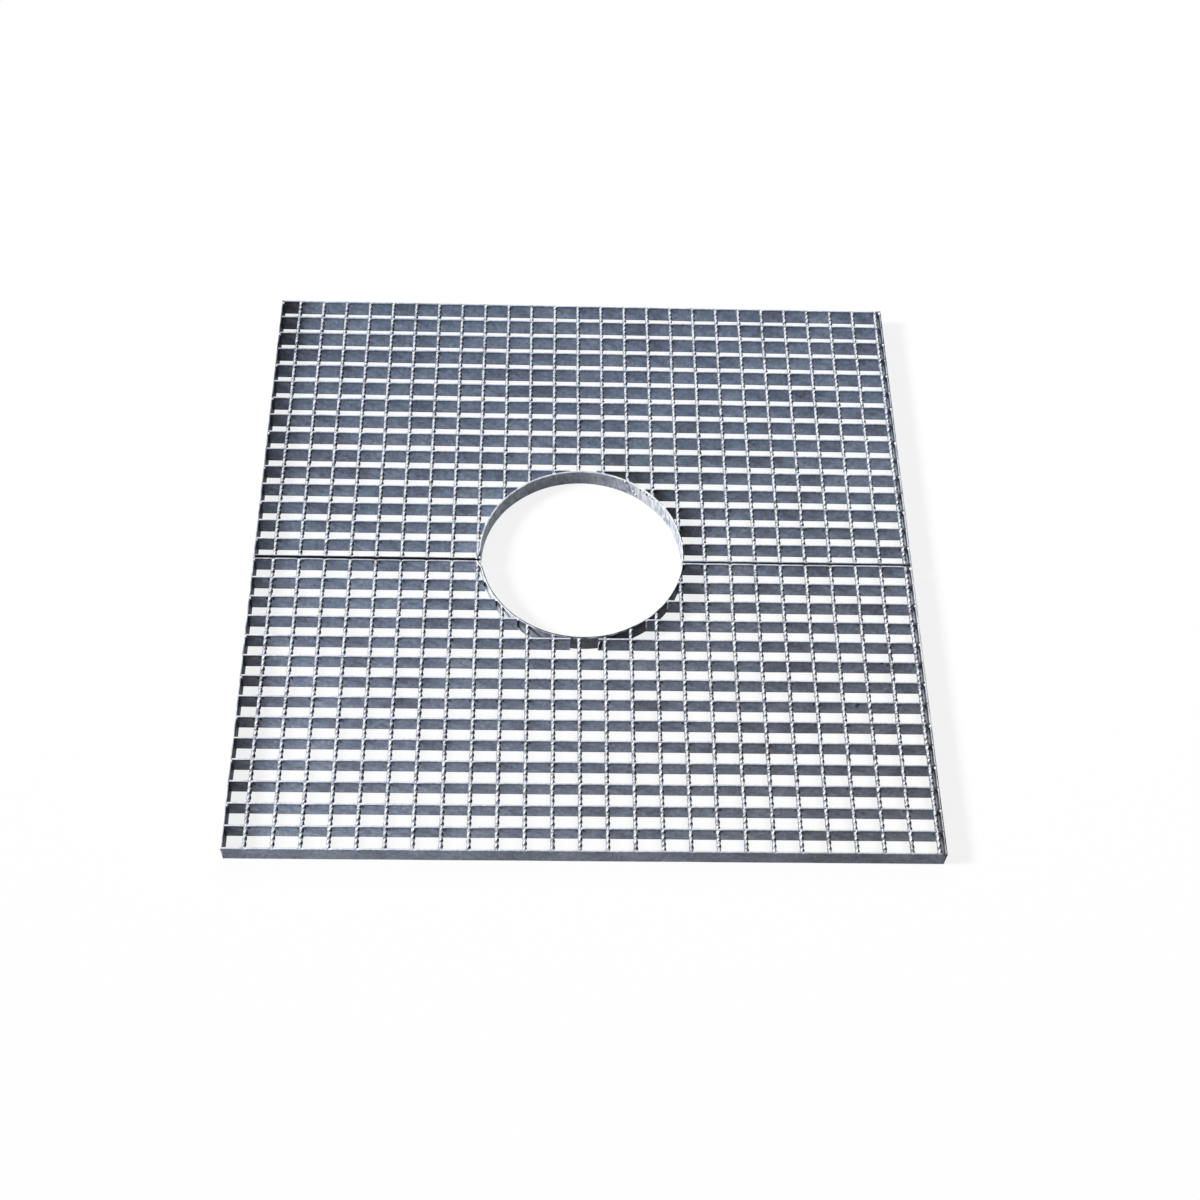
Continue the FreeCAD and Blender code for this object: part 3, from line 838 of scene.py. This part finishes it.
for half in HALVES:
    bars, rods, collar, welds = Skin(), Skin(), Skin(), Skin()
    for y in half.bars:
        add_bar(bars, half, y)
    for x in RODS:
        add_rod(rods, half, x)
    add_collar(collar, half)
    add_band_welds(welds, half)
    add_collar_welds(welds, half)
    if half.sign > 0:
        add_lumps(welds)
    else:
        add_marks(welds)
    keep_inside(welds)
    place(bars, half.name + "_bars", BAR_ZINC, half.name + "_grating", "galvanised_mesh")
    place(rods, half.name + "_rods", ROD_ZINC, half.name + "_grating", "galvanised_mesh")
    place(welds, half.name + "_welds", ROD_ZINC, half.name + "_grating", "galvanised_mesh")
    place(collar, half.name + "_collar_bent", FLAT_ZINC, half.name + "_collar", "galvanised_flat_bar")
    for side, word in ((-1, "left"), (1, "right")):
        band = Skin()
        add_band(band, half, side)
        node = f"{half.name}_{word}_band"
        place(band, node + "_flat", FLAT_ZINC, node, "galvanised_flat_bar")


# floor, light and camera
def seen_rays(tree):
    """1 for rays that show the background, straight or in metal, and 0 for those that light the object."""
    path = tree.nodes.new("ShaderNodeLightPath")
    total = path.outputs["Is Camera Ray"]
    for name in ("Is Glossy Ray", "Is Transmission Ray"):
        add = tree.nodes.new("ShaderNodeMath")
        add.operation = "ADD"
        add.use_clamp = True
        tree.links.new(total, add.inputs[0])
        tree.links.new(path.outputs[name], add.inputs[1])
        total = add.outputs[0]
    return total


FLOOR_HALF = 9.0
FLOOR_DROP = 0.0003
FLOOR_BOUNCE = 0.36
FLOOR_SEEN = 0.97
FLOOR_WHITENING = 0.86
FLOOR_ROUGHNESS = 0.9


def make_floor():
    """A plain pale floor, whitened for the camera without losing the shadows."""
    mesh = bpy.data.meshes.new("floor")
    signs = ((-1, -1), (1, -1), (1, 1), (-1, 1))
    corners = [(x * FLOOR_HALF, y * FLOOR_HALF, -FLOOR_DROP) for x, y in signs]
    mesh.from_pydata(corners, [], [(0, 1, 2, 3)])
    floor = bpy.data.objects.new("floor", mesh)
    bpy.context.scene.collection.objects.link(floor)
    n = Nodes("floor_white")
    seen = seen_rays(n.tree)
    shade = n.mix("MIX", seen, (FLOOR_BOUNCE,) * 3 + (1.0,), (FLOOR_SEEN,) * 3 + (1.0,))
    n.put(n.shader.inputs["Base Color"], shade)
    n.shader.inputs["Roughness"].default_value = FLOOR_ROUGHNESS
    n.shader.inputs["Specular IOR Level"].default_value = 0.0
    white = n.add("ShaderNodeEmission", Strength=1.0)
    share = n.add("ShaderNodeMath", {"operation": "MULTIPLY"})
    n.tree.links.new(seen, share.inputs[0])
    share.inputs[1].default_value = FLOOR_WHITENING
    both = n.tree.nodes.new("ShaderNodeMixShader")
    n.tree.links.new(share.outputs[0], both.inputs[0])
    n.tree.links.new(n.shader.outputs[0], both.inputs[1])
    n.tree.links.new(white.outputs[0], both.inputs[2])
    n.tree.links.new(both.outputs[0], n.tree.nodes["Material Output"].inputs["Surface"])
    mesh.materials.append(n.material)


WORLD_TINT = (0.86, 0.94, 1.0, 1.0)
WORLD_LIGHT = 0.07
WORLD_SEEN = 0.75


def make_world():
    """Even soft light, seen as a pale backdrop."""
    world = bpy.data.worlds.new("studio")
    bpy.context.scene.world = world
    world.use_nodes = True
    tree = world.node_tree
    soft = tree.nodes["Background"]
    soft.inputs["Color"].default_value = WORLD_TINT
    soft.inputs["Strength"].default_value = WORLD_LIGHT
    seen = tree.nodes.new("ShaderNodeBackground")
    seen.inputs["Color"].default_value = (1.0, 1.0, 1.0, 1.0)
    seen.inputs["Strength"].default_value = WORLD_SEEN
    both = tree.nodes.new("ShaderNodeMixShader")
    tree.links.new(seen_rays(tree), both.inputs[0])
    tree.links.new(soft.outputs[0], both.inputs[1])
    tree.links.new(seen.outputs[0], both.inputs[2])
    tree.links.new(both.outputs[0], tree.nodes["World Output"].inputs["Surface"])


# each lamp's place: azimuth and elevation in degrees, distance in metres
KEY_PLACE = (184.0, 34.5, 3.0)
KEY_STRENGTH = 4.6
KEY_ANGLE = 12.0
KEY_COLOUR = (1.0, 0.99, 0.97)
BACK_PLACE = (92.0, 55.0, 3.2)
BACK_SIZE = (3.2, 2.2)
BACK_POWER = 22.0


def add_lamp(data, azimuth, elevation, distance):
    """Hang a lamp that shines at the grate's middle; azimuth 0 is along +X, in degrees."""
    a, e = math.radians(azimuth), math.radians(elevation)
    towards = np.array([math.cos(a) * math.cos(e), math.sin(a) * math.cos(e), math.sin(e)])
    aside = np.cross([0, 0, 1], towards)
    aside /= np.linalg.norm(aside)
    turned = Matrix(np.column_stack([aside, np.cross(towards, aside), towards]).tolist()).to_4x4()
    turned.translation = (towards * distance).tolist()
    lamp = bpy.data.objects.new(data.name, data)
    lamp.matrix_world = turned
    bpy.context.scene.collection.objects.link(lamp)


def make_lamps():
    """The main light from the left and a little in front, and a wide soft one behind that the tops mirror."""
    key = bpy.data.lights.new("key", "SUN")
    key.energy = KEY_STRENGTH
    key.angle = math.radians(KEY_ANGLE)
    key.color = KEY_COLOUR
    add_lamp(key, *KEY_PLACE)
    back = bpy.data.lights.new("back", "AREA")
    back.shape = "RECTANGLE"
    back.size, back.size_y = BACK_SIZE
    back.energy = BACK_POWER
    add_lamp(back, *BACK_PLACE)


# camera fitted to the photograph's bars, rods and corners
CAMERA_AT = np.array([-78.5, -1629.2, 2341.6])
CAMERA_AZIMUTH, CAMERA_ELEVATION, CAMERA_ROLL = (math.radians(a) for a in (3.745, 56.233, -3.853))
CAMERA_LENS = 56.1
CAMERA_SENSOR = 36.0
CAMERA_FAR = 100.0


def make_camera():
    """The photograph's camera, turned down by its elevation and then rolled."""
    data = bpy.data.cameras.new("camera")
    data.sensor_width = CAMERA_SENSOR
    data.lens = CAMERA_LENS
    data.clip_end = CAMERA_FAR
    camera = bpy.data.objects.new("camera", data)
    flat = math.cos(CAMERA_ELEVATION)
    ahead = np.array([
        math.sin(CAMERA_AZIMUTH) * flat, math.cos(CAMERA_AZIMUTH) * flat, -math.sin(CAMERA_ELEVATION)
    ])
    right = np.cross(ahead, [0, 0, 1])
    right /= np.linalg.norm(right)
    down = np.cross(ahead, right)
    c, s = math.cos(CAMERA_ROLL), math.sin(CAMERA_ROLL)
    right, down = c * right + s * down, c * down - s * right
    turned = Matrix(np.column_stack([right, -down, -ahead]).tolist()).to_4x4()
    turned.translation = (CAMERA_AT * MM).tolist()
    camera.matrix_world = turned
    bpy.context.scene.collection.objects.link(camera)
    bpy.context.scene.camera = camera


make_floor()
make_world()
make_lamps()
make_camera()
bpy.context.scene.view_settings.view_transform = "Standard"
